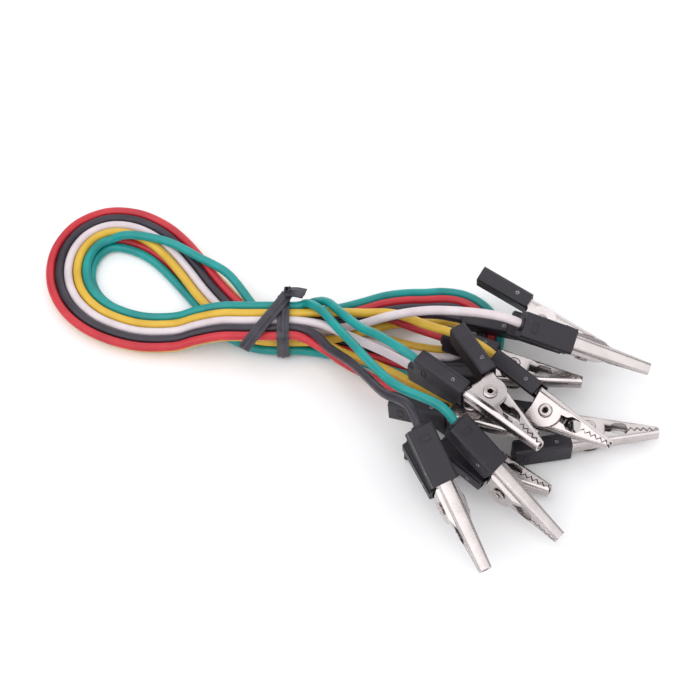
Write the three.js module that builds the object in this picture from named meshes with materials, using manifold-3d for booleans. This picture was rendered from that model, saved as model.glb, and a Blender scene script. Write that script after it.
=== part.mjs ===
// A bundle of five test leads with miniature crocodile clips, held by a twist tie.
// Millimetres, +Z up. The origin is on the table, below the middle of the clips and the tie.
import * as THREE from 'three';
import { mergeVertices } from 'three/addons/utils/BufferGeometryUtils.js';
import Module from 'manifold-3d';

const wasm = await Module();
wasm.setup();

// --- driving dimensions ---
const TUBE_RADIUS = 1.0; // a plain tube, a little inside the 2.2 mm insulated wire
const PITCH = 2.3; // wires lying side by side
const ROW = 2.0; // height from one layer of wires to the next
const JAW_REACH = 17; // rivet axis to jaw tip
const JAW_TIP_HALF = 1.15; // half the height of the closed tip
const LEVER_ANGLE = THREE.MathUtils.degToRad(9.8); // spine against the clip's axis
const SHEET = 0.45; // stamped steel
const CHANNEL_HALF = 1.85; // half the width of a jaw's channel
const CHANNEL_DEPTH = 8.6;
const CHANNEL_ROUND = 0.9;
const CHEEK_DEPTH = 1.3; // the cheeks bulge only this far below the spine
const MATING_GAP = 0.2; // half the gap between closed teeth
const TOOTH_HALF_PITCH = 0.75;
const TOOTH_HALF_HEIGHT = 0.4;
const TOOTH_FLANKS = 10;
const RIVET_HOLE = 1.25;
const OUTER_CHEEK = 3.9; // cheek disc radii
const INNER_CHEEK = 2.7;
const HANDLE_END = -12; // rear end of a jaw's handle, inside its grip
const HANDLE_HEIGHT = 2.4;
const RIVET = { bore: 0.6, barrel: 0.95, head: 1.7, underHead: 2.95, end: 3.25 };
const GRIP = { front: -5, rear: -19, width: 6.4, height: 4, proud: 0.8, chamfer: 0.5 };
const POCKET = { rear: -13.4, width: 4.8, clearance: 0.3 };
const WIRE_END_GAP = 0.3;
const FREE_WIRE_END_GAP = 0.75; // where the wire-side lever is the one that turns
const TUBE_SIDES = 8;
const STAGGER = 0.575; // the upper layer lies in the lower one's grooves
const WIRES_ABREAST = 5;
const BEND = { x: 24, y: 3.6, inner: 4.4, turn: Math.PI / 8 }; // the U-turn right of the tie
const STRAIGHT_END = 5; // the wire's last stretch, in line with its grip
const HOP = 2.3; // green lifts this far to cross the others
const TIE = { x: -16.5, width: 3, near: -2.9, far: 10.1, low: 0.8, high: 9.55, thick: 0.8 };

const ORIGIN = { x: 23.47, y: -25.15 }; // below the middle of the clips and the tie

const COLOURS = {
  green: 0x00a08f, yellow: 0xdfba3c, white: 0xe6dcdf, black: 0x2b2530, red: 0xc8303c,
  grip: 0x3a3440, steel: 0xc9c4c2, tie: 0x2a2533,
};

// --- solids ---
function toSolid(geometry) {
  const bare = geometry.index ? geometry.toNonIndexed() : geometry.clone();
  bare.deleteAttribute('normal');
  bare.deleteAttribute('uv');
  const merged = mergeVertices(bare, 1e-5);
  return new wasm.Manifold(new wasm.Mesh({
    numProp: 3,
    vertProperties: new Float32Array(merged.attributes.position.array),
    triVerts: new Uint32Array(merged.index.array),
  }));
}

function toGeometry(solid) {
  const mesh = solid.getMesh();
  const geometry = new THREE.BufferGeometry();
  geometry.setAttribute('position', new THREE.BufferAttribute(mesh.vertProperties, 3));
  geometry.setIndex(new THREE.BufferAttribute(mesh.triVerts, 1));
  return geometry;
}

// A side outline, drawn in (x, z), as a plate that is `width` thick about y = 0.
function plate(shape, width, curveSegments = 6) {
  const geometry = new THREE.ExtrudeGeometry(shape, { depth: width, bevelEnabled: false, curveSegments });
  geometry.rotateX(Math.PI / 2);
  geometry.translate(0, width / 2, 0);
  return geometry;
}

// --- crocodile clip: x forward to the tip, y along the rivet, z the opening direction ---
const spineHeight = (x) => JAW_TIP_HALF + (JAW_REACH - x) * Math.tan(LEVER_ANGLE);
const LEVER_LIFT = spineHeight(0) * Math.cos(LEVER_ANGLE); // spine to rivet axis, square to the spine

// The stamped channel of a jaw before its sides are cut. stations are x, the bulge of its
// cheeks there, and how far its whole width narrows.
function channel(stations) {
  const half = CHANNEL_HALF;
  const inside = half - SHEET;
  const shape = new THREE.Shape();
  shape.moveTo(-half, -CHANNEL_DEPTH);
  shape.lineTo(-inside, -CHANNEL_DEPTH);
  shape.lineTo(-inside, -CHEEK_DEPTH);
  shape.lineTo(-inside, -CHANNEL_ROUND);
  shape.lineTo(-inside + SHEET, -SHEET);
  shape.lineTo(inside - SHEET, -SHEET);
  shape.lineTo(inside, -CHANNEL_ROUND);
  shape.lineTo(inside, -CHEEK_DEPTH);
  shape.lineTo(inside, -CHANNEL_DEPTH);
  shape.lineTo(half, -CHANNEL_DEPTH);
  shape.lineTo(half, -CHEEK_DEPTH);
  shape.absarc(half - CHANNEL_ROUND, -CHANNEL_ROUND, CHANNEL_ROUND, 0, Math.PI / 2, false);
  shape.absarc(-half + CHANNEL_ROUND, -CHANNEL_ROUND, CHANNEL_ROUND, Math.PI / 2, Math.PI, false);
  shape.lineTo(-half, -CHEEK_DEPTH);
  shape.closePath();
  const steps = stations.length - 1;
  const geometry = new THREE.ExtrudeGeometry(shape, {
    depth: steps, steps, bevelEnabled: false, curveSegments: 2,
  });
  const p = geometry.attributes.position;
  for (let i = 0; i < p.count; i += 1) {
    const [x, bulge, narrowing] = stations[Math.round(p.getZ(i))];
    const below = -p.getY(i) > CHANNEL_ROUND + 0.01 ? bulge : 0;
    const y = p.getX(i) + Math.sign(p.getX(i)) * (below - narrowing);
    p.setXYZ(i, x, y, spineHeight(x) + p.getY(i));
  }
  return geometry;
}

function circle(radius, sides) {
  return Array.from({ length: sides }, (_, i) => {
    const turn = (2 * Math.PI * i) / sides;
    return new THREE.Vector2(radius * Math.cos(turn), radius * Math.sin(turn));
  });
}

// The side outline of a jaw. phase is 1 or -1, so that the two rows of teeth mesh.
function jawOutline(phase, cheek) {
  const shape = new THREE.Shape();
  shape.moveTo(JAW_REACH, spineHeight(JAW_REACH) + 1);
  for (let i = 0; i <= TOOTH_FLANKS; i += 1) {
    const side = i % 2 === 0 ? -phase : phase;
    shape.lineTo(JAW_REACH - i * TOOTH_HALF_PITCH, side * TOOTH_HALF_HEIGHT + MATING_GAP);
  }
  // The wide mouth behind the teeth.
  shape.lineTo(9.0, 1.3);
  shape.lineTo(8.1, 1.65);
  shape.lineTo(6.2, 1.65);
  shape.lineTo(5.3, 0.95);
  const from = THREE.MathUtils.degToRad(12);
  const to = THREE.MathUtils.degToRad(-125);
  shape.absarc(0, 0, cheek, from, to, true);
  shape.lineTo(-3.9, -0.4);
  shape.lineTo(-4.3, spineHeight(-4.3) - HANDLE_HEIGHT);
  shape.lineTo(HANDLE_END, spineHeight(HANDLE_END) - HANDLE_HEIGHT);
  shape.lineTo(HANDLE_END, spineHeight(HANDLE_END) + 1);
  shape.closePath();
  shape.holes.push(new THREE.Path(circle(RIVET_HOLE, 12)));
  return shape;
}

function jaw(phase, cheek, stations) {
  const cut = toSolid(plate(jawOutline(phase, cheek), 8));
  return toGeometry(toSolid(channel(stations)).intersect(cut));
}

const outerJaw = jaw(1, OUTER_CHEEK, [
  [HANDLE_END, 0.2, 0], [-4.3, 0.2, 0], [-3.6, 0.85, 0], [3.4, 0.85, 0], [5.6, 0, 0], [JAW_REACH, 0, 0.3],
]);
const innerJaw = jaw(-1, INNER_CHEEK, [[HANDLE_END, 0, 0], [5.6, 0, 0], [JAW_REACH, 0, 0.3]]);
innerJaw.rotateX(Math.PI);

// A hollow rivet, turned about the y axis.
function rivetGeometry() {
  const { bore, barrel, head, underHead, end } = RIVET;
  const half = [[bore, end], [head, end], [head, underHead], [barrel, underHead]];
  const profile = [...half, ...half.map(([r, y]) => [r, -y]).reverse(), half[0]];
  return new THREE.LatheGeometry(profile.map(([r, y]) => new THREE.Vector2(r, y)).reverse(), 10);
}

// A moulded grip: a box with chamfered edges, open at the front for the handle.
function gripGeometry() {
  const top = LEVER_LIFT + GRIP.proud;
  const bottom = top - GRIP.height;
  const half = GRIP.width / 2;
  const c = GRIP.chamfer;
  const section = new THREE.Shape();
  section.moveTo(-half, bottom + c);
  section.lineTo(-half + c, bottom);
  section.lineTo(half - c, bottom);
  section.lineTo(half, bottom + c);
  section.lineTo(half, top - c);
  section.lineTo(half - c, top);
  section.lineTo(-half + c, top);
  section.lineTo(-half, top - c);
  section.closePath();
  const body = new THREE.ExtrudeGeometry(section, { depth: GRIP.front - GRIP.rear, bevelEnabled: false });
  const axes = new THREE.Matrix4().makeBasis(
    new THREE.Vector3(0, 1, 0), new THREE.Vector3(0, 0, 1), new THREE.Vector3(1, 0, 0),
  );
  body.applyMatrix4(axes);
  body.translate(GRIP.rear, 0, 0);
  const roof = LEVER_LIFT + POCKET.clearance;
  const floor = LEVER_LIFT - HANDLE_HEIGHT - POCKET.clearance;
  const pocket = new THREE.BoxGeometry(20, POCKET.width, roof - floor);
  pocket.translate(POCKET.rear + 10, 0, (roof + floor) / 2);
  const geometry = toGeometry(toSolid(body).subtract(toSolid(pocket)));
  geometry.rotateY(LEVER_ANGLE);
  return geometry;
}

const wireGrip = gripGeometry();
const thumbGrip = gripGeometry().rotateX(Math.PI);
const rivet = rivetGeometry();

// Where a clip's wire meets the rear of its grip, in the clip's own axes.
function wireEntry(gap) {
  const lift = LEVER_LIFT + GRIP.proud - GRIP.height / 2;
  const levelled = new THREE.Vector3(GRIP.rear - gap, 0, lift);
  return levelled.applyAxisAngle(new THREE.Vector3(0, 1, 0), LEVER_ANGLE);
}

// --- where the clips lie: rivet centre, heading, nose down, roll (0 = wire grip on top) ---
const CLIPS = {
  white_clip_a: { at: [57, -7.4, 11.7], heading: -10, nose: 18, roll: 33, free: true },
  white_clip_b: { at: [28.5, -28.4, 15.2], heading: -27, nose: -4, roll: -89 },
  red_clip_a: { at: [39.8, -10.6, 6.6], heading: -13, nose: -1, roll: -91 },
  red_clip_b: { at: [32.4, -34.6, 3.5], heading: -30, nose: 0, roll: -90 },
  green_clip_a: { at: [32.5, -29, 22.2], heading: -50, nose: 2, roll: 94 },
  green_clip_b: { at: [36.2, -46.2, 10.7], heading: -41, nose: 17, roll: 0, free: true },
  black_clip_a: { at: [47.2, 2.8, 7.4], heading: -22, nose: 5, roll: 112 },
  black_clip_b: { at: [23.4, -52.2, 12.9], heading: -63, nose: 16, roll: 5, free: true },
  yellow_clip_a: { at: [46.8, -28.2, 14.3], heading: -37, nose: -7, roll: -63 },
  yellow_clip_b: { at: [57.2, -26.8, 3.5], heading: 0, nose: 0, roll: -90 },
};

function clipFrame({ at, heading, nose, roll }) {
  const turn = new THREE.Euler(
    THREE.MathUtils.degToRad(roll), THREE.MathUtils.degToRad(nose), THREE.MathUtils.degToRad(heading), 'ZYX',
  );
  return new THREE.Matrix4().makeRotationFromEuler(turn).setPosition(...at);
}

// --- the leads: each is folded in half, and goes twice round the loop left of the tie ---
// The loop's middle line: x, y, height of the lower layer, how far green has crossed, its hop.
const LOOP = [
  [-13, 3.6, 6.25, 0, 0], [-19, 3.6, 6.25, 0, 0], [-26, 3.6, 6.25, 0, 0], [-32, 3.6, 6.2, 0, 0],
  [-38, 3.5, 4.5, 0, 0], [-44, 3.4, 2, 0, 0], [-53, 4.2, 1.1, 0, 0], [-61.5, 7.4, 1.1, 0, 0],
  [-67.1, 12, 1.1, 0, 0], [-70.3, 17.6, 1.1, 0, 0], [-71.3, 23.5, 1.1, 0, 0],
  [-70.3, 29.2, 1.1, 0, 0], [-67.2, 34, 1.1, 0, 0], [-62.3, 36.6, 1.1, 0, 0],
  [-56.5, 36.2, 1.1, 0, 1], [-50.5, 33.5, 1.1, 0.2, 1], [-45.5, 29.4, 1.1, 0.45, 1],
  [-40.5, 23.6, 1.1, 0.7, 1], [-35, 16.6, 1.1, 1, 1], [-28.5, 8.2, 1.6, 1, 0],
  [-26, 5.9, 1.9, 1, 0], [-22.7, 4.2, 2.05, 1, 0], [-19, 3.6, 2.05, 1, 0], [-13, 3.6, 2.05, 1, 0],
];

// Right of the tie the wires spread: x, how far apart, height going out, height coming back.
const SPREAD = [
  [-8, 0.03, 4.05, 1.5], [-2.5, 0.15, 4.05, 1.1], [3, 0.35, 4.05, 1.1], [8.5, 0.58, 4.05, 1.1],
  [14, 0.8, 2.8, 1.1], [19, 0.94, 1.4, 1.1], [24, 1, 1.1, 1.1],
];

// Places in the upper layer, from the loop's inside: near side of the loop, then far side.
const LEADS = {
  green: { near: 0, far: 4, upper: 'green_clip_b', lower: 'green_clip_a' },
  yellow: { near: 1, far: 0, upper: 'yellow_clip_a', lower: 'yellow_clip_b' },
  white: { near: 2, far: 1, upper: 'white_clip_b', lower: 'white_clip_a' },
  black: { near: 3, far: 2, upper: 'black_clip_b', lower: 'black_clip_a' },
  red: { near: 4, far: 3, upper: 'red_clip_b', lower: 'red_clip_a' },
};

// From the tie to just behind each clip.
const TAILS = {
  green_clip_b: [
    [-10.5, 7.4, 9.6], [-7, 3.4, 12.2], [-3.2, -3, 14], [1.4, -11, 17], [6, -19.5, 20.5], [11.5, -27.5, 24.2],
  ],
  green_clip_a: [[-8.5, 8.8, 8.4], [-5.5, 6.4, 11.4], [-2, 1.6, 13.4], [2.5, -4.6, 16.2], [7, -9.6, 19.6]],
  yellow_clip_a: [[-5, 5.3, 8.7], [3, 4.6, 9.4], [11, 3, 11.2], [19, -1.5, 12.6], [26, -5.2, 14]],
  yellow_clip_b: [
    [-7, -1.8, 5.9], [-1, -4.6, 4.9], [6, -7.2, 4.1], [13, -10.8, 3.5], [20, -14.6, 1.8], [27, -17.6, 1.6],
  ],
  white_clip_b: [[-6.5, 0.6, 9.8], [-0.5, -4, 11.8], [5.5, -8.2, 13.2]],
  white_clip_a: [[-5, 1.8, 6.5], [2, 1.2, 9], [10, 0.4, 14], [19, -2, 19.5], [28, -5.4, 23.6]],
  black_clip_b: [[-8.5, -2, 9.3], [-4.9, -7, 10.6], [0, -13, 13.6], [4.2, -21, 18.5], [8, -28.4, 23]],
  black_clip_a: [[-5, 4, 6.3], [3, 3.9, 6.9], [9, 4, 8.3], [14, 4.6, 8.9], [18.5, 5.2, 8]],
  red_clip_b: [[-7, -4.2, 7], [-1, -7.8, 5.2], [6, -11.5, 4], [11, -14.3, 3.6]],
  red_clip_a: [[-5, 6.5, 6.3], [3, 6.4, 6.3], [9, 5.6, 6.25], [14, 3.7, 5.6]],
};

// How far a place lies outside the loop's middle line.
const outward = (place, stagger) => (place - (WIRES_ABREAST - 1) / 2) * PITCH + stagger;

function pointOnLoop(i, offset, height) {
  const [x, y] = LOOP[i];
  const before = LOOP[Math.max(i - 1, 0)];
  const after = LOOP[Math.min(i + 1, LOOP.length - 1)];
  const along = new THREE.Vector2(after[0] - before[0], after[1] - before[1]).normalize();
  return new THREE.Vector3(x + along.y * offset, y - along.x * offset, height);
}

function upperPass(lead) {
  return LOOP.map(([, , height, crossed, hop], i) => {
    const place = THREE.MathUtils.lerp(lead.near, lead.far, crossed);
    const lift = lead.far > lead.near ? hop * HOP : 0;
    return pointOnLoop(i, -outward(place, STAGGER), height + ROW + lift);
  });
}

function lowerPass(lead) {
  const place = WIRES_ABREAST - 1 - lead.far;
  return LOOP.map(([, , height], i) => pointOnLoop(i, -outward(place, -STAGGER), height)).reverse();
}

// Out from the tie along the far side, round the bend, and back along the near side.
function bend(lead) {
  const radius = BEND.inner + lead.far * PITCH;
  const shift = BEND.inner + 2 * PITCH - STAGGER;
  const out = SPREAD.map(([x, spread, height]) => (
    new THREE.Vector3(x, BEND.y + radius - shift * (1 - spread), height)
  ));
  const back = SPREAD.map(([x, spread, , height]) => (
    new THREE.Vector3(x, BEND.y - radius + shift * (1 - spread), height)
  )).reverse();
  const arc = [];
  for (let turn = Math.PI / 2 - BEND.turn; turn > -Math.PI / 2 + 0.01; turn -= BEND.turn) {
    arc.push(new THREE.Vector3(
      BEND.x + radius * Math.cos(turn), BEND.y + radius * Math.sin(turn), SPREAD.at(-1)[3],
    ));
  }
  return [...out, ...arc, ...back];
}

// From the tie to the wire's end in a clip, coming straight in behind its grip.
function tail(name) {
  const frame = clipFrame(CLIPS[name]);
  const gap = CLIPS[name].free ? FREE_WIRE_END_GAP : WIRE_END_GAP;
  const end = wireEntry(gap).applyMatrix4(frame);
  const behind = wireEntry(gap + STRAIGHT_END).applyMatrix4(frame);
  return [...TAILS[name].map((point) => new THREE.Vector3(...point)), behind, end];
}

function wireRoute(lead) {
  return [
    ...tail(lead.upper).reverse(), ...upperPass(lead), ...bend(lead), ...lowerPass(lead), ...tail(lead.lower),
  ];
}

// A plain tube with one ring of its section at each point of the route.
function tube(route) {
  const section = new THREE.Shape(circle(TUBE_RADIUS, TUBE_SIDES));
  const steps = route.length - 1;
  const geometry = new THREE.ExtrudeGeometry(section, { depth: steps, steps, bevelEnabled: false });
  const frames = [];
  let side = new THREE.Vector3(0, 0, 1);
  route.forEach((point, i) => {
    const before = route[Math.max(i - 1, 0)];
    const along = route[Math.min(i + 1, steps)].clone().sub(before).normalize();
    side = side.clone().addScaledVector(along, -side.dot(along)).normalize();
    frames.push({ point, side, across: along.clone().cross(side) });
  });
  const p = geometry.attributes.position;
  for (let i = 0; i < p.count; i += 1) {
    const { point, side: u, across: v } = frames[Math.round(p.getZ(i))];
    const place = point.clone().addScaledVector(u, p.getX(i)).addScaledVector(v, p.getY(i));
    p.setXYZ(i, place.x, place.y, place.z);
  }
  return geometry;
}

// --- the twist tie: a band round all the strands, a knot, and two flat ends ---
const KNOT = { at: [-15.5, 9.6, 11.1], radius: 1.9 };
const LONG_END = { from: [-15.5, 9.6, 10.3], to: [-26, -6.7, 10.3] };
const SHORT_END = { from: [-15.5, 9.6, 11.3], to: [-11.2, 7.6, 13.4] };

function block(size, at) {
  return toSolid(new THREE.BoxGeometry(...size).translate(...at));
}

// A flat strip of the tie between two places, lying as flat as it can.
function strip({ from, to }) {
  const start = new THREE.Vector3(...from);
  const end = new THREE.Vector3(...to);
  const along = end.clone().sub(start).normalize();
  const across = new THREE.Vector3(0, 0, 1).cross(along).normalize();
  const turn = new THREE.Matrix4().makeBasis(along, across, along.clone().cross(across));
  turn.setPosition(start.clone().add(end).multiplyScalar(0.5));
  const piece = new THREE.BoxGeometry(start.distanceTo(end), TIE.width, TIE.thick);
  return toSolid(piece.applyMatrix4(turn));
}

function twistTie() {
  const { x, width, near, far, low, high, thick } = TIE;
  const middle = [x, (near + far) / 2, (low + high) / 2];
  const depth = far - near;
  const height = high - low;
  const band = block([width, depth + 2 * thick, height + 2 * thick], middle);
  const knot = toSolid(new THREE.IcosahedronGeometry(KNOT.radius, 1).translate(...KNOT.at));
  const hole = block([width + 2, depth, height], middle);
  return toGeometry(band.add(knot).add(strip(LONG_END)).add(strip(SHORT_END)).subtract(hole));
}

// --- assembly ---
const bundle = new THREE.Group();
bundle.position.set(-ORIGIN.x, -ORIGIN.y, 0);

function add(parent, name, geometry, colour, metal = false) {
  const material = new THREE.MeshStandardMaterial({
    color: colour, metalness: metal ? 1 : 0, roughness: metal ? 0.28 : 0.5,
  });
  const mesh = new THREE.Mesh(geometry, material);
  mesh.name = name;
  parent.add(mesh);
}

for (const [name, clip] of Object.entries(CLIPS)) {
  const group = new THREE.Group();
  clipFrame(clip).decompose(group.position, group.quaternion, group.scale);
  add(group, `${name}_outer_jaw`, outerJaw, COLOURS.steel, true);
  add(group, `${name}_inner_jaw`, innerJaw, COLOURS.steel, true);
  add(group, `${name}_rivet`, rivet, COLOURS.steel, true);
  add(group, `${name}_wire_grip`, wireGrip, COLOURS.grip);
  add(group, `${name}_thumb_grip`, thumbGrip, COLOURS.grip);
  bundle.add(group);
}
for (const [colour, lead] of Object.entries(LEADS)) {
  add(bundle, `${colour}_wire`, tube(wireRoute(lead)), COLOURS[colour]);
}
add(bundle, 'twist_tie', twistTie(), COLOURS.tie);

export default bundle;
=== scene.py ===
"""Looks for the bundle of test leads with crocodile clips.

Metres, +Z up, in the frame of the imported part. The lists of places are in millimetres.
"""

import math

import bmesh
import bpy
from mathutils import Matrix, Vector


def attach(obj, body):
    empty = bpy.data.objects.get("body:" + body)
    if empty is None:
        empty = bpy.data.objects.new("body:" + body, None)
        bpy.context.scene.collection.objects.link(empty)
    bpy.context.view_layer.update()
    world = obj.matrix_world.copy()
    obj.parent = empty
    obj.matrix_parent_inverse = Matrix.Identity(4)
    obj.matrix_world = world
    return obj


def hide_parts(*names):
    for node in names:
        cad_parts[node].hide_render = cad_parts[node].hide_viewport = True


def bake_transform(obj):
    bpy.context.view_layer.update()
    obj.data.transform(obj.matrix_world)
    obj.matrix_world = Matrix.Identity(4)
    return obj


MM = 0.001
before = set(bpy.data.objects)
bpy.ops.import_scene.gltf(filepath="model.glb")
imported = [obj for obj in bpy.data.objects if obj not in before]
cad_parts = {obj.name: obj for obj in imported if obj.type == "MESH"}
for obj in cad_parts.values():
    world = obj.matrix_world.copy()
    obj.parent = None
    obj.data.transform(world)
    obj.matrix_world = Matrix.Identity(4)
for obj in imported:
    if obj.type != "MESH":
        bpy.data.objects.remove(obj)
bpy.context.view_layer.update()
ORIGIN = Vector((23.47, -25.15, 0))  # the frame's origin, in the millimetres of the lists below

# --- camera ---
VIEW = {"elevation": math.radians(55), "distance": 0.496, "angle": math.radians(20)}


def make_camera():
    data = bpy.data.cameras.new("camera")
    data.angle = VIEW["angle"]
    data.clip_start = 0.01
    camera = bpy.data.objects.new("camera", data)
    target = -ORIGIN * MM
    back = Vector((0, -math.cos(VIEW["elevation"]), math.sin(VIEW["elevation"])))
    camera.location = target + VIEW["distance"] * back
    camera.rotation_euler = back.to_track_quat("Z", "Y").to_euler()
    bpy.context.scene.collection.objects.link(camera)
    bpy.context.scene.camera = camera


make_camera()

# --- sizes, in millimetres, as in the part ---
WIRE_DIAMETER = 2.2
PITCH = 2.3  # between wires side by side
ROW = 2.0  # from the lower layer to the upper
STAGGER = 0.575  # how far the layers are moved apart sideways
PLACES = 5
STRAIGHT_END = 5
HOP = 2.3  # how high green rises to cross the others
BEND = {"x": 24, "y": 3.6, "inner": 4.4, "turn": math.pi / 8}
LEVER_ANGLE = math.radians(9.8)
JAW_REACH = 17
JAW_TIP_HALF = 1.15
LEVER_LIFT = (JAW_TIP_HALF + JAW_REACH * math.tan(LEVER_ANGLE)) * math.cos(LEVER_ANGLE)
GRIP = {"front": -5, "rear": -19, "width": 6.4, "height": 4, "proud": 0.8}
FREE_GAP = 0.75  # the CAD's gap between a wire and a grip that turns
GAP = 0.3  # and a grip that doesn't
SUNK = 0.5  # how far the wire goes into its grip

CLIPS = {
    "white_clip_a": {"at": (57, -7.4, 11.7), "heading": -10, "nose": 18, "roll": 33, "free": True},
    "white_clip_b": {"at": (28.5, -28.4, 15.2), "heading": -27, "nose": -4, "roll": -89},
    "red_clip_a": {"at": (39.8, -10.6, 6.6), "heading": -13, "nose": -1, "roll": -91},
    "red_clip_b": {"at": (32.4, -34.6, 3.5), "heading": -30, "nose": 0, "roll": -90},
    "green_clip_a": {"at": (32.5, -29, 22.2), "heading": -50, "nose": 2, "roll": 94},
    "green_clip_b": {"at": (36.2, -46.2, 10.7), "heading": -41, "nose": 17, "roll": 0, "free": True},
    "black_clip_a": {"at": (47.2, 2.8, 7.4), "heading": -22, "nose": 5, "roll": 112},
    "black_clip_b": {"at": (23.4, -52.2, 12.9), "heading": -63, "nose": 16, "roll": 5, "free": True},
    "yellow_clip_a": {"at": (46.8, -28.2, 14.3), "heading": -37, "nose": -7, "roll": -63},
    "yellow_clip_b": {"at": (57.2, -26.8, 3.5), "heading": 0, "nose": 0, "roll": -90},
}

# The loop's middle line: x, y, height of the lower layer, how far green has crossed, its hop.
LOOP = [
    (-13, 3.6, 6.25, 0, 0), (-19, 3.6, 6.25, 0, 0), (-26, 3.6, 6.25, 0, 0), (-32, 3.6, 6.2, 0, 0),
    (-38, 3.5, 4.5, 0, 0), (-44, 3.4, 2, 0, 0), (-53, 4.2, 1.1, 0, 0), (-61.5, 7.4, 1.1, 0, 0),
    (-67.1, 12, 1.1, 0, 0), (-70.3, 17.6, 1.1, 0, 0), (-71.3, 23.5, 1.1, 0, 0),
    (-70.3, 29.2, 1.1, 0, 0), (-67.2, 34, 1.1, 0, 0), (-62.3, 36.6, 1.1, 0, 0),
    (-56.5, 36.2, 1.1, 0, 1), (-50.5, 33.5, 1.1, 0.2, 1), (-45.5, 29.4, 1.1, 0.45, 1),
    (-40.5, 23.6, 1.1, 0.7, 1), (-35, 16.6, 1.1, 1, 1), (-28.5, 8.2, 1.6, 1, 0),
    (-26, 5.9, 1.9, 1, 0), (-22.7, 4.2, 2.05, 1, 0), (-19, 3.6, 2.05, 1, 0), (-13, 3.6, 2.05, 1, 0),
]
# Right of the tie: x, how far apart, height going out, height coming back.
SPREAD = [
    (-8, 0.03, 4.05, 1.5), (-2.5, 0.15, 4.05, 1.1), (3, 0.35, 4.05, 1.1), (8.5, 0.58, 4.05, 1.1),
    (14, 0.8, 2.8, 1.1), (19, 0.94, 1.4, 1.1), (24, 1, 1.1, 1.1),
]
# Places in the upper layer, near side of the loop, then far side; the clips at the wire's ends.
LEADS = {
    "green": {"near": 0, "far": 4, "upper": "green_clip_b", "lower": "green_clip_a"},
    "yellow": {"near": 1, "far": 0, "upper": "yellow_clip_a", "lower": "yellow_clip_b"},
    "white": {"near": 2, "far": 1, "upper": "white_clip_b", "lower": "white_clip_a"},
    "black": {"near": 3, "far": 2, "upper": "black_clip_b", "lower": "black_clip_a"},
    "red": {"near": 4, "far": 3, "upper": "red_clip_b", "lower": "red_clip_a"},
}
# From the tie to just behind each clip.
TAILS = {
    "green_clip_b": [(-10.5, 7.4, 9.6), (-7, 3.4, 12.2), (-3.2, -3, 14), (1.4, -11, 17), (6, -19.5, 20.5),
                     (11.5, -27.5, 24.2)],
    "green_clip_a": [(-8.5, 8.8, 8.4), (-5.5, 6.4, 11.4), (-2, 1.6, 13.4), (2.5, -4.6, 16.2),
                     (7, -9.6, 19.6)],
    "yellow_clip_a": [(-5, 5.3, 8.7), (3, 4.6, 9.4), (11, 3, 11.2), (19, -1.5, 12.6), (26, -5.2, 14)],
    "yellow_clip_b": [(-7, -1.8, 5.9), (-1, -4.6, 4.9), (6, -7.2, 4.1), (13, -10.8, 3.5), (20, -14.6, 1.8),
                      (27, -17.6, 1.6)],
    "white_clip_b": [(-6.5, 0.6, 9.8), (-0.5, -4, 11.8), (5.5, -8.2, 13.2)],
    "white_clip_a": [(-5, 1.8, 6.5), (2, 1.2, 9), (10, 0.4, 14), (19, -2, 19.5), (28, -5.4, 23.6)],
    "black_clip_b": [(-8.5, -2, 9.3), (-4.9, -7, 10.6), (0, -13, 13.6), (4.2, -21, 18.5), (8, -28.4, 23)],
    "black_clip_a": [(-5, 4, 6.3), (3, 3.9, 6.9), (9, 4, 8.3), (14, 4.6, 8.9), (18.5, 5.2, 8)],
    "red_clip_b": [(-7, -4.2, 7), (-1, -7.8, 5.2), (6, -11.5, 4), (11, -14.3, 3.6)],
    "red_clip_a": [(-5, 6.5, 6.3), (3, 6.4, 6.3), (9, 5.6, 6.25), (14, 3.7, 5.6)],
}


def clip_matrix(name):
    """From a clip's own millimetres (x to the tip, y along the rivet) to the frame's metres."""
    clip = CLIPS[name]
    heading, nose, roll = (math.radians(clip[k]) for k in ("heading", "nose", "roll"))
    turn = Matrix.Rotation(heading, 4, "Z") @ Matrix.Rotation(nose, 4, "Y") @ Matrix.Rotation(roll, 4, "X")
    place = Matrix.Translation((Vector(clip["at"]) - ORIGIN) * MM)
    return place @ turn @ Matrix.Scale(MM, 4)


def wire_entry(name, gap):
    lift = LEVER_LIFT + GRIP["proud"] - GRIP["height"] / 2
    point = Matrix.Rotation(LEVER_ANGLE, 4, "Y") @ Vector((GRIP["rear"] - gap, 0, lift))
    return clip_matrix(name) @ point


def metres(point):
    return (Vector(point) - ORIGIN) * MM


# --- the wires' routes ---
def outward(place, stagger):
    return (place - (PLACES - 1) / 2) * PITCH + stagger


def on_loop(i, offset, height):
    before, after = LOOP[max(i - 1, 0)], LOOP[min(i + 1, len(LOOP) - 1)]
    along = Vector((after[0] - before[0], after[1] - before[1])).normalized()
    return metres((LOOP[i][0] + along.y * offset, LOOP[i][1] - along.x * offset, height))


def upper_pass(lead):
    points = []
    for i, (_, _, height, crossed, hop) in enumerate(LOOP):
        place = lead["near"] + (lead["far"] - lead["near"]) * crossed
        lift = hop * HOP if lead["far"] > lead["near"] else 0
        points.append(on_loop(i, -outward(place, STAGGER), height + ROW + lift))
    return points


def lower_pass(lead):
    offset = -outward(PLACES - 1 - lead["far"], -STAGGER)
    return [on_loop(i, offset, LOOP[i][2]) for i in range(len(LOOP))][::-1]


def bend(lead):
    radius = BEND["inner"] + lead["far"] * PITCH
    shift = BEND["inner"] + 2 * PITCH - STAGGER
    out = [metres((x, BEND["y"] + radius - shift * (1 - s), z)) for x, s, z, _ in SPREAD]
    back = [metres((x, BEND["y"] - radius + shift * (1 - s), z)) for x, s, _, z in SPREAD]
    arc = []
    for k in range(1, 8):
        turn = math.pi / 2 - k * BEND["turn"]
        arc.append(metres((
            BEND["x"] + radius * math.cos(turn), BEND["y"] + radius * math.sin(turn), SPREAD[-1][3],
        )))
    return out + arc + back[::-1]


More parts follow.
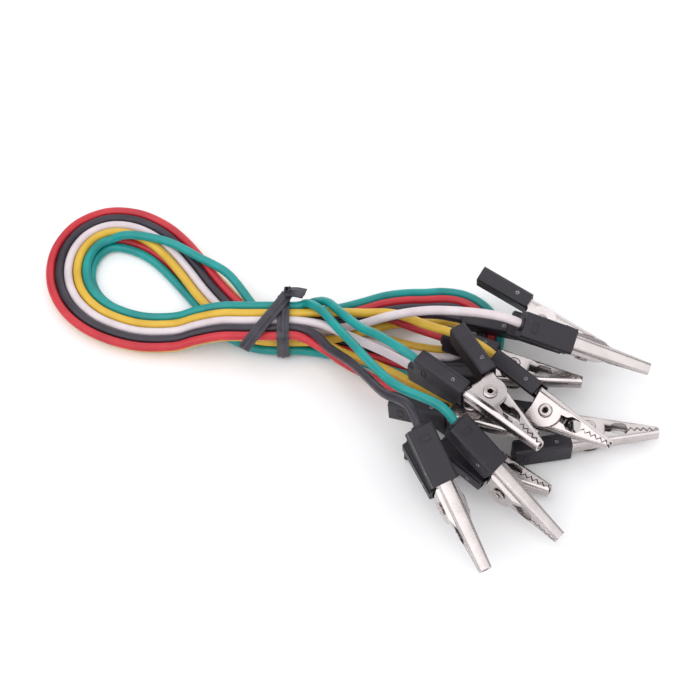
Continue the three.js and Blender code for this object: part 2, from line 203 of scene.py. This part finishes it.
def tail(name):
    gap = FREE_GAP if CLIPS[name].get("free") else GAP
    ends = [wire_entry(name, gap + STRAIGHT_END), wire_entry(name, -SUNK)]
    return [metres(p) for p in TAILS[name]] + ends


def wire_route(lead):
    loop = upper_pass(lead) + bend(lead) + lower_pass(lead)
    return tail(lead["upper"])[::-1] + loop + tail(lead["lower"])


def smooth(points, step=0.0011):
    """A Catmull-Rom line through the points."""
    line = []
    for i in range(len(points) - 1):
        a = points[max(i - 1, 0)]
        b, c = points[i], points[i + 1]
        d = points[min(i + 2, len(points) - 1)]
        parts = max(2, math.ceil((c - b).length / step))
        for k in range(parts):
            t = k / parts
            squared = 2 * a - 5 * b + 4 * c - d
            cubed = 3 * b - a - 3 * c + d
            line.append(0.5 * (2 * b + (c - a) * t + squared * t ** 2 + cubed * t ** 3))
    return line + [points[-1]]


# --- mesh helpers ---
def new_object(name, mesh):
    piece = bpy.data.objects.new(name, mesh)
    bpy.context.scene.collection.objects.link(piece)
    return piece


def shade_smooth(mesh, angle=None):
    mesh.polygons.foreach_set("use_smooth", [True] * len(mesh.polygons))
    if angle is not None:
        mesh.set_sharp_from_angle(angle=angle)
    mesh.update()


def sweep(name, line, section, ups=None, closed=False):
    """section, a list of (across, up), carried along a line; ups gives the up direction at each point."""
    bm = bmesh.new()
    rings = []
    up = Vector((0, 0, 1))
    count = len(line)
    for i, point in enumerate(line):
        before = line[i - 1] if closed or i else line[0]
        after = line[(i + 1) % count] if closed else line[min(i + 1, count - 1)]
        along = (after - before).normalized()
        if ups:
            up = ups[i]
        up = (up - up.dot(along) * along).normalized()
        across = along.cross(up)
        rings.append([bm.verts.new(point + a * across + b * up) for a, b in section])
    sides = len(section)
    for i in range(count if closed else count - 1):
        one, two = rings[i], rings[(i + 1) % count]
        for k in range(sides):
            j = (k + 1) % sides
            bm.faces.new((one[k], one[j], two[j], two[k]))
    if not closed:
        bm.faces.new(rings[0][::-1])
        bm.faces.new(rings[-1])
    bmesh.ops.recalc_face_normals(bm, faces=bm.faces)
    mesh = bpy.data.meshes.new(name)
    bm.to_mesh(mesh)
    bm.free()
    return new_object(name, mesh)


def round_section(radius, sides):
    return [
        (radius * math.cos(2 * math.pi * k / sides), radius * math.sin(2 * math.pi * k / sides))
        for k in range(sides)
    ]


# --- materials ---
def new_material(name):
    material = bpy.data.materials.new(name)
    material.use_nodes = True
    nodes = material.node_tree.nodes
    return material, nodes, material.node_tree.links, nodes["Principled BSDF"]


def noise(nodes, links, scale, detail=4.0, stretch=(1, 1, 1)):
    place = nodes.new("ShaderNodeTexCoord")
    mapping = nodes.new("ShaderNodeMapping")
    mapping.inputs["Scale"].default_value = stretch
    texture = nodes.new("ShaderNodeTexNoise")
    texture.inputs["Scale"].default_value = scale
    texture.inputs["Detail"].default_value = detail
    links.new(place.outputs["Object"], mapping.inputs["Vector"])
    links.new(mapping.outputs["Vector"], texture.inputs["Vector"])
    return texture


def ramp(nodes, links, texture, stops):
    node = nodes.new("ShaderNodeValToRGB")
    elements = node.color_ramp.elements
    for element, (at, colour) in zip(elements, (stops[0], stops[-1])):
        element.position = at
        element.color = colour
    for at, colour in stops[1:-1]:
        elements.new(at).color = colour
    links.new(texture.outputs["Fac"], node.inputs["Fac"])
    return node


def grey(value):
    return (value, value, value, 1)


def bump(nodes, links, texture, shader, strength, distance):
    node = nodes.new("ShaderNodeBump")
    node.inputs["Strength"].default_value = strength
    node.inputs["Distance"].default_value = distance
    links.new(texture.outputs["Fac"], node.inputs["Height"])
    links.new(node.outputs["Normal"], shader.inputs["Normal"])


def wire_material(name, dark, light):
    """PVC sheath: satin, with faint mottling and the print of handling on it."""
    material, nodes, links, shader = new_material(name)
    mottle = noise(nodes, links, 160, 3)
    tint = ramp(nodes, links, mottle, [(0.3, (*dark, 1)), (0.7, (*light, 1))])
    links.new(tint.outputs["Color"], shader.inputs["Base Color"])
    wear = noise(nodes, links, 420, 5)
    rough = ramp(nodes, links, wear, [(0.35, grey(0.3)), (0.7, grey(0.48))])
    links.new(rough.outputs["Color"], shader.inputs["Roughness"])
    shader.inputs["Specular IOR Level"].default_value = 0.45
    shader.inputs["Subsurface Weight"].default_value = 0.08
    shader.inputs["Subsurface Radius"].default_value = (0.0012, 0.0012, 0.0012)
    shader.inputs["Subsurface Scale"].default_value = 0.3
    bump(nodes, links, noise(nodes, links, 900, 3), shader, 0.12, 0.0001)
    return material


def metal_material(name, dark, light, smooth_at, rough_at):
    """Nickel plate: stamped, with fine rub marks and cloudy patches."""
    material, nodes, links, shader = new_material(name)
    cloud = noise(nodes, links, 240, 4)
    tint = ramp(nodes, links, cloud, [(0.3, (*dark, 1)), (0.62, (*light, 1))])
    links.new(tint.outputs["Color"], shader.inputs["Base Color"])
    shader.inputs["Metallic"].default_value = 1.0
    rub = noise(nodes, links, 700, 6, (1, 5, 5))
    rough = ramp(nodes, links, rub, [(0.3, grey(smooth_at)), (0.72, grey(rough_at))])
    links.new(rough.outputs["Color"], shader.inputs["Roughness"])
    bump(nodes, links, noise(nodes, links, 900, 5), shader, 0.025, 0.00004)
    return material


def grip_material():
    """Black moulded plastic: fine grain, a faint violet cast, paler scuffs."""
    material, nodes, links, shader = new_material("grip_plastic")
    scuff = noise(nodes, links, 330, 8)
    tint = ramp(nodes, links, scuff, [
        (0.3, (0.007, 0.005, 0.009, 1)), (0.6, (0.013, 0.01, 0.017, 1)), (0.8, (0.03, 0.024, 0.036, 1)),
    ])
    links.new(tint.outputs["Color"], shader.inputs["Base Color"])
    rough = ramp(nodes, links, scuff, [(0.3, grey(0.42)), (0.75, grey(0.62))])
    links.new(rough.outputs["Color"], shader.inputs["Roughness"])
    bump(nodes, links, noise(nodes, links, 2600, 4), shader, 0.22, 0.00012)
    return material


def gate_mark_and_highlight_material():
    """Where the moulding's sprue broke off: smoother than the grain round it, with a painted highlight (a
    paler mottled colour) standing in for the glint on its glossy dimple.
    """
    material, nodes, links, shader = new_material("gate_mark_painted_highlight")
    mottle = noise(nodes, links, 2200, 3)
    # painted highlight: the pale end of this ramp stands in for the glint on the glossy gate dimple
    tint = ramp(nodes, links, mottle, [(0.35, (0.05, 0.045, 0.055, 1)), (0.65, (0.3, 0.29, 0.31, 1))])
    links.new(tint.outputs["Color"], shader.inputs["Base Color"])
    shader.inputs["Roughness"].default_value = 0.22
    return material


def tie_material():
    material, nodes, links, shader = new_material("tie_plastic")
    scuff = noise(nodes, links, 500, 5)
    tint = ramp(nodes, links, scuff, [(0.3, (0.02, 0.017, 0.026, 1)), (0.75, (0.05, 0.045, 0.06, 1))])
    links.new(tint.outputs["Color"], shader.inputs["Base Color"])
    rough = ramp(nodes, links, scuff, [(0.3, grey(0.3)), (0.7, grey(0.45))])
    links.new(rough.outputs["Color"], shader.inputs["Roughness"])
    bump(nodes, links, noise(nodes, links, 1400, 3), shader, 0.15, 0.0001)
    return material


WIRE_COLOURS = {
    "green": ((0.0, 0.2, 0.19), (0.0, 0.29, 0.275)),
    "yellow": ((0.56, 0.34, 0.025), (0.68, 0.44, 0.045)),
    "white": ((0.58, 0.5, 0.525), (0.68, 0.61, 0.63)),
    "black": ((0.016, 0.012, 0.02), (0.034, 0.026, 0.04)),
    "red": ((0.42, 0.014, 0.024), (0.54, 0.024, 0.036)),
}
WIRE_MATERIALS = {c: wire_material(f"{c}_pvc", *pair) for c, pair in WIRE_COLOURS.items()}
NICKEL = metal_material("nickel", (0.5, 0.455, 0.45), (0.58, 0.535, 0.525), 0.22, 0.3)
RIVET_METAL = metal_material("rivet_nickel", (0.36, 0.32, 0.31), (0.5, 0.45, 0.44), 0.2, 0.36)
SPRING_STEEL = metal_material("spring_steel", (0.26, 0.24, 0.24), (0.38, 0.35, 0.35), 0.22, 0.36)
GRIP_PLASTIC = grip_material()
# the gate marks' material: a real smoother finish, with a painted highlight in its colour
GATE_MARK_AND_HIGHLIGHT = gate_mark_and_highlight_material()
TIE_PLASTIC = tie_material()

# --- the wires ---
# The wires whose end goes into a grip that turns: a direction, and the two places along it.
FREE_ENDS = {
    "green": ("green_clip_b", (14, -24, 24), (14, -36, 24)),
    "white": ("white_clip_a", (24, -6, 22), (33, -6, 31)),
    "black": ("black_clip_b", (10, -23, 24), (10, -38, 24)),
}


def make_wire(colour, lead):
    line = smooth(wire_route(lead))
    piece = sweep(f"{colour}_lead_wire", line, round_section(WIRE_DIAMETER / 2 * MM, 16))
    shade_smooth(piece.data, math.radians(50))
    piece.data.materials.append(WIRE_MATERIALS[colour])
    if colour in FREE_ENDS:
        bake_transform(piece)
    else:
        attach(piece, "root")
    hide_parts(f"{colour}_wire")
    path = [tuple(p) for p in line]
    return piece, path


wires = {colour: make_wire(colour, lead) for colour, lead in LEADS.items()}


# --- clips ---
def wire_side(name):
    return f"{name}_wire_side" if CLIPS[name].get("free") else "root"


def thumb_side(name):
    return "root" if CLIPS[name].get("free") else f"{name}_thumb_side"


def finished_copy(node, name, offset, material, sharp=32):
    """A CAD node's shape with its edges broken, as stamping or moulding leaves them."""
    bm = bmesh.new()
    bm.from_mesh(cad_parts[node].data)
    bmesh.ops.remove_doubles(bm, verts=bm.verts, dist=2e-6)
    bmesh.ops.dissolve_limit(
        bm, angle_limit=math.radians(1.5), verts=bm.verts, edges=bm.edges, use_dissolve_boundaries=False,
    )
    corners = [e for e in bm.edges if e.is_manifold and e.calc_face_angle(0) > math.radians(sharp)]
    bmesh.ops.bevel(
        bm, geom=corners, offset=offset, segments=2, profile=0.6, affect="EDGES", clamp_overlap=True,
    )
    bmesh.ops.recalc_face_normals(bm, faces=bm.faces)
    mesh = bpy.data.meshes.new(name)
    bm.to_mesh(mesh)
    bm.free()
    shade_smooth(mesh, math.radians(50))
    mesh.materials.append(material)
    piece = new_object(name, mesh)
    weighted = piece.modifiers.new("weighted", "WEIGHTED_NORMAL")
    weighted.keep_sharp = True
    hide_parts(node)
    return piece


def lathe(profile, sides):
    """A closed profile of (radius, y) turned about the y axis."""
    bm = bmesh.new()
    rings = []
    for k in range(sides):
        turn = 2 * math.pi * k / sides
        rings.append([bm.verts.new((r * math.cos(turn), y, r * math.sin(turn))) for r, y in profile])
    for k in range(sides):
        one, two = rings[k], rings[(k + 1) % sides]
        for i in range(len(profile)):
            j = (i + 1) % len(profile)
            bm.faces.new((one[i], one[j], two[j], two[i]))
    bmesh.ops.recalc_face_normals(bm, faces=bm.faces)
    return bm


# Half of the hollow rivet's profile, from its bore over the rolled end: radius, place along it.
RIVET_HALF = [
    (0.6, 2.6), (0.63, 3.05), (0.78, 3.2), (1.0, 3.25), (1.35, 3.22), (1.6, 3.12), (1.7, 3.02),
    (1.66, 2.95), (0.95, 2.95),
]


def make_rivet(name):
    bm = lathe(RIVET_HALF + [(r, -y) for r, y in RIVET_HALF[::-1]], 32)
    bm.transform(clip_matrix(name))
    mesh = bpy.data.meshes.new(f"{name}_hollow_rivet")
    bm.to_mesh(mesh)
    bm.free()
    shade_smooth(mesh, math.radians(50))
    mesh.materials.append(RIVET_METAL)
    piece = new_object(f"{name}_hollow_rivet", mesh)
    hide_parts(f"{name}_rivet")
    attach(piece, "root")


SPRING = {"radius": 1.5, "wire": 0.22, "turns": 4.5, "steps_a_turn": 16, "half": 1.05, "leg": (-9.5, 4.7)}


def make_spring(name):
    """A torsion spring round the rivet: the coil with one leg on the wire side, the other leg apart."""
    matrix = clip_matrix(name)
    leg_x, leg_z = SPRING["leg"]
    steps = int(SPRING["turns"] * SPRING["steps_a_turn"])
    start = math.pi * 0.75
    coil = []
    for k in range(steps + 1):
        turn = start + 2 * math.pi * SPRING["turns"] * k / steps
        y = SPRING["half"] * (1 - 2 * k / steps)
        coil.append(Vector((SPRING["radius"] * math.cos(turn), y, SPRING["radius"] * math.sin(turn))))
    knee_x, knee_z = leg_x / 2, leg_z * 0.62
    end = coil[-1]
    upper = [Vector((leg_x, SPRING["half"], leg_z)), Vector((knee_x, SPRING["half"], knee_z))] + coil
    lower = [end, Vector((knee_x, end.y, -knee_z)), Vector((leg_x, end.y, -leg_z))]
    section = round_section(SPRING["wire"] * MM, 8)
    for label, points, body in (("coil", upper, wire_side(name)), ("leg", lower, thumb_side(name))):
        piece = sweep(f"{name}_spring_{label}", [matrix @ p for p in points], section)
        shade_smooth(piece.data, math.radians(60))
        piece.data.materials.append(SPRING_STEEL)
        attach(piece, body)


def add_bar(bm, size, at, matrix):
    """A small box with broken edges, added to a mesh in the clip's own millimetres."""
    bar = bmesh.new()
    bmesh.ops.create_cube(bar, size=1, matrix=Matrix.Translation(at) @ Matrix.Diagonal((*size, 1)))
    bmesh.ops.bevel(
        bar, geom=bar.edges[:], offset=min(size) * 0.3, segments=2, profile=0.5, affect="EDGES",
        clamp_overlap=True,
    )
    bar.transform(matrix)
    mesh = bpy.data.meshes.new("bar")
    bar.to_mesh(mesh)
    bar.free()
    bm.from_mesh(mesh)
    bpy.data.meshes.remove(mesh)


def add_disc(bm, radius, height, at, axis, matrix, hole, slot_index=0):
    profile = [
        (max(hole, 0.02), -height / 2), (radius * 0.92, -height / 2), (radius, -height * 0.3),
        (radius, height * 0.2), (radius * 0.86, height / 2), (max(hole, 0.02), height / 2),
    ]
    disc = lathe(profile, 24)
    for face in disc.faces:
        face.material_index = slot_index
    turn = Vector((0, 1, 0)).rotation_difference(Vector(axis)).to_matrix().to_4x4()
    disc.transform(matrix @ Matrix.Translation(at) @ turn)
    mesh = bpy.data.meshes.new("disc")
    disc.to_mesh(mesh)
    disc.free()
    bm.from_mesh(mesh)
    bpy.data.meshes.remove(mesh)


LIP = {"across": 0.36, "high": 0.55, "short_of_ends": 0.3, "sunk": 0.02, "up": 0.5}
GATE = {"radius": 0.5, "proud": 0.16, "hole": 0.22, "from_front": 3.6, "below_top": 1.7}
SLOT_RIM = {"wide": 0.25, "high": 0.24, "from_rear": 3, "half_length": 0.65, "half_width": 1.2}
COLLAR = {"radius": 1.75, "long": 0.7, "hole": 1.08, "behind": 0.2}


def make_grip(name, side, body):
    """The moulded grip with its lip, gate marks, slot rim and, on the wire side, the wire's collar."""
    node = f"{name}_{side}_grip"
    piece = finished_copy(node, f"{node}_moulding", 0.00022, GRIP_PLASTIC, 30)
    matrix = clip_matrix(name)
    if side == "thumb":
        matrix = matrix @ Matrix.Rotation(math.pi, 4, "X")
    matrix = matrix @ Matrix.Rotation(LEVER_ANGLE, 4, "Y")
    top = LEVER_LIFT + GRIP["proud"]
    bottom = top - GRIP["height"]
    middle = (GRIP["front"] + GRIP["rear"]) / 2
    length = GRIP["front"] - GRIP["rear"]
    half = GRIP["width"] / 2
    bm = bmesh.new()
    bm.from_mesh(piece.data)
    gate_x, gate_z = GRIP["front"] - GATE["from_front"], top - GATE["below_top"]
    for sign in (-1, 1):
        add_bar(
            bm, (length - LIP["short_of_ends"], LIP["across"], LIP["high"]),
            (middle, sign * (half - LIP["sunk"]), bottom + LIP["up"]), matrix,
        )
        # the gate discs use slot 1, the gate mark material with its painted highlight
        add_disc(
            bm, GATE["radius"], GATE["proud"], (gate_x, sign * half, gate_z), (0, sign, 0), matrix,
            GATE["hole"], 1,
        )
    slot_x = GRIP["rear"] + SLOT_RIM["from_rear"]
    wide, high = SLOT_RIM["wide"], SLOT_RIM["high"]
    for dx in (-SLOT_RIM["half_length"], SLOT_RIM["half_length"]):
        add_bar(bm, (wide, 2.5, high), (slot_x + dx, 0, top), matrix)
    for dy in (-SLOT_RIM["half_width"], SLOT_RIM["half_width"]):
        add_bar(bm, (1.5, wide, high), (slot_x, dy, top), matrix)
    if side == "wire":
        centre = top - GRIP["height"] / 2
        add_disc(
            bm, COLLAR["radius"], COLLAR["long"], (GRIP["rear"] - COLLAR["behind"], 0, centre),
            (-1, 0, 0), matrix, COLLAR["hole"],
        )
    bm.to_mesh(piece.data)
    bm.free()
    shade_smooth(piece.data, math.radians(50))
    # slot 1: the gate mark material, whose paler colour is a painted highlight
    piece.data.materials.append(GATE_MARK_AND_HIGHLIGHT)
    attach(piece, body)


for clip_name in CLIPS:
    for jaw, jaw_body in (("outer", wire_side(clip_name)), ("inner", thumb_side(clip_name))):
        jaw_node = f"{clip_name}_{jaw}_jaw"
        stamped = finished_copy(jaw_node, f"{jaw_node}_stamping", 0.00008, NICKEL)
        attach(stamped, jaw_body)
    make_rivet(clip_name)
    make_spring(clip_name)
    make_grip(clip_name, "wire", wire_side(clip_name))
    make_grip(clip_name, "thumb", thumb_side(clip_name))

# --- the twist tie ---
# The band's middle line, and the flat strip with a wire in its core: across, up.
TIE = {"x": -16.5, "near": -2.9, "far": 10.1, "low": 0.8, "high": 9.55, "thick": 0.8, "round": 2.2}
STRIP = [
    (-1.5, -0.16), (-1.5, 0.16), (-0.5, 0.2), (-0.3, 0.38), (0.3, 0.38), (0.5, 0.2), (1.5, 0.16),
    (1.5, -0.16), (0.5, -0.2), (0.3, -0.36), (-0.3, -0.36), (-0.5, -0.2),
]


def tie_band_line():
    half_y = (TIE["far"] - TIE["near"] + TIE["thick"]) / 2
    half_z = (TIE["high"] - TIE["low"] + TIE["thick"]) / 2
    y, z, r = (TIE["near"] + TIE["far"]) / 2, (TIE["low"] + TIE["high"]) / 2, TIE["round"]
    line, ups = [], []
    for corner, (sy, sz) in enumerate(((1, 1), (-1, 1), (-1, -1), (1, -1))):
        for k in range(9):
            turn = math.pi / 2 * (corner + k / 8)
            out = Vector((0, math.cos(turn), math.sin(turn)))
            line.append(metres(Vector((TIE["x"], y + sy * (half_y - r), z + sz * (half_z - r))) + r * out))
            ups.append(out)
    return line, ups


KNOT = {"at": (-15.5, 9.6, 10.1), "high": 2.5, "radius": 0.55, "turn": 2.4 * math.pi, "steps": 24}


def twisted(phase):
    """One of the two strips that are wound round each other in the knot."""
    line, ups = [], []
    for k in range(KNOT["steps"] + 1):
        part = k / KNOT["steps"]
        turn = phase + KNOT["turn"] * part
        out = Vector((math.cos(turn), math.sin(turn), 0))
        up_the_knot = Vector((0, 0, KNOT["high"] * part))
        line.append(metres(Vector(KNOT["at"]) + up_the_knot + KNOT["radius"] * out))
        ups.append(out)
    return line, ups


def make_tie():
    section = [(a * MM, b * MM) for a, b in STRIP]
    narrow = [(a * 0.55 * MM, b * MM) for a, b in STRIP]
    up = Vector((0, 0, 1))
    long_line = smooth([metres(p) for p in (
        (-15.5, 9.6, 10.7), (-17.6, 6.3, 10.45), (-20.5, 1.8, 10.5), (-23.4, -2.8, 10.6), (-26, -6.7, 10),
    )])
    short_line = smooth([metres(p) for p in ((-15.5, 9.6, 11.4), (-13.4, 8.6, 12.7), (-11.2, 7.6, 13.3))])
    band_line, band_ups = tie_band_line()
    parts = [
        sweep("tie_band", band_line, section, band_ups, closed=True),
        sweep("tie_long_end", long_line, section, [up] * len(long_line)),
        sweep("tie_short_end", short_line, section, [up] * len(short_line)),
    ]
    for k in range(2):
        line, ups = twisted(k * math.pi)
        parts.append(sweep(f"tie_twist_{k}", line, narrow, ups))
    for part in parts:
        shade_smooth(part.data, math.radians(40))
        part.data.materials.append(TIE_PLASTIC)
        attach(part, "root")
    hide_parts("twist_tie")


make_tie()


# --- floor and light ---
def make_floor():
    bm = bmesh.new()
    bmesh.ops.create_grid(bm, x_segments=1, y_segments=1, size=2)
    mesh = bpy.data.meshes.new("floor")
    bm.to_mesh(mesh)
    bm.free()
    material, nodes, links, shader = new_material("pale_floor")
    tint = ramp(nodes, links, noise(nodes, links, 3, 2), [(0.3, grey(0.9)), (0.7, grey(0.93))])
    links.new(tint.outputs["Color"], shader.inputs["Base Color"])
    shader.inputs["Roughness"].default_value = 0.7
    mesh.materials.append(material)
    floor = new_object("floor", mesh)
    floor.location = (0, 0, -0.0002)


def area_light(name, place, aim, size, power, colour=(1, 1, 1)):
    data = bpy.data.lights.new(name, "AREA")
    data.size = size
    data.energy = power
    data.color = colour
    light = bpy.data.objects.new(name, data)
    light.location = place
    light.rotation_euler = (Vector(place) - Vector(aim)).to_track_quat("Z", "Y").to_euler()
    bpy.context.scene.collection.objects.link(light)


def make_world():
    world = bpy.data.worlds.new("studio")
    bpy.context.scene.world = world
    world.use_nodes = True
    background = world.node_tree.nodes["Background"]
    background.inputs["Color"].default_value = (0.93, 0.92, 0.96, 1)
    background.inputs["Strength"].default_value = 0.55


make_floor()
area_light("key", (-0.35, -0.25, 0.6), (0, 0, 0), 1.2, 6.5)
area_light("fill", (0.5, -0.35, 0.4), (0, 0, 0), 0.8, 2)
area_light("back", (0.1, 0.55, 0.35), (0, 0, 0), 0.9, 2.2)
make_world()
bpy.context.scene.view_settings.view_transform = "Standard"
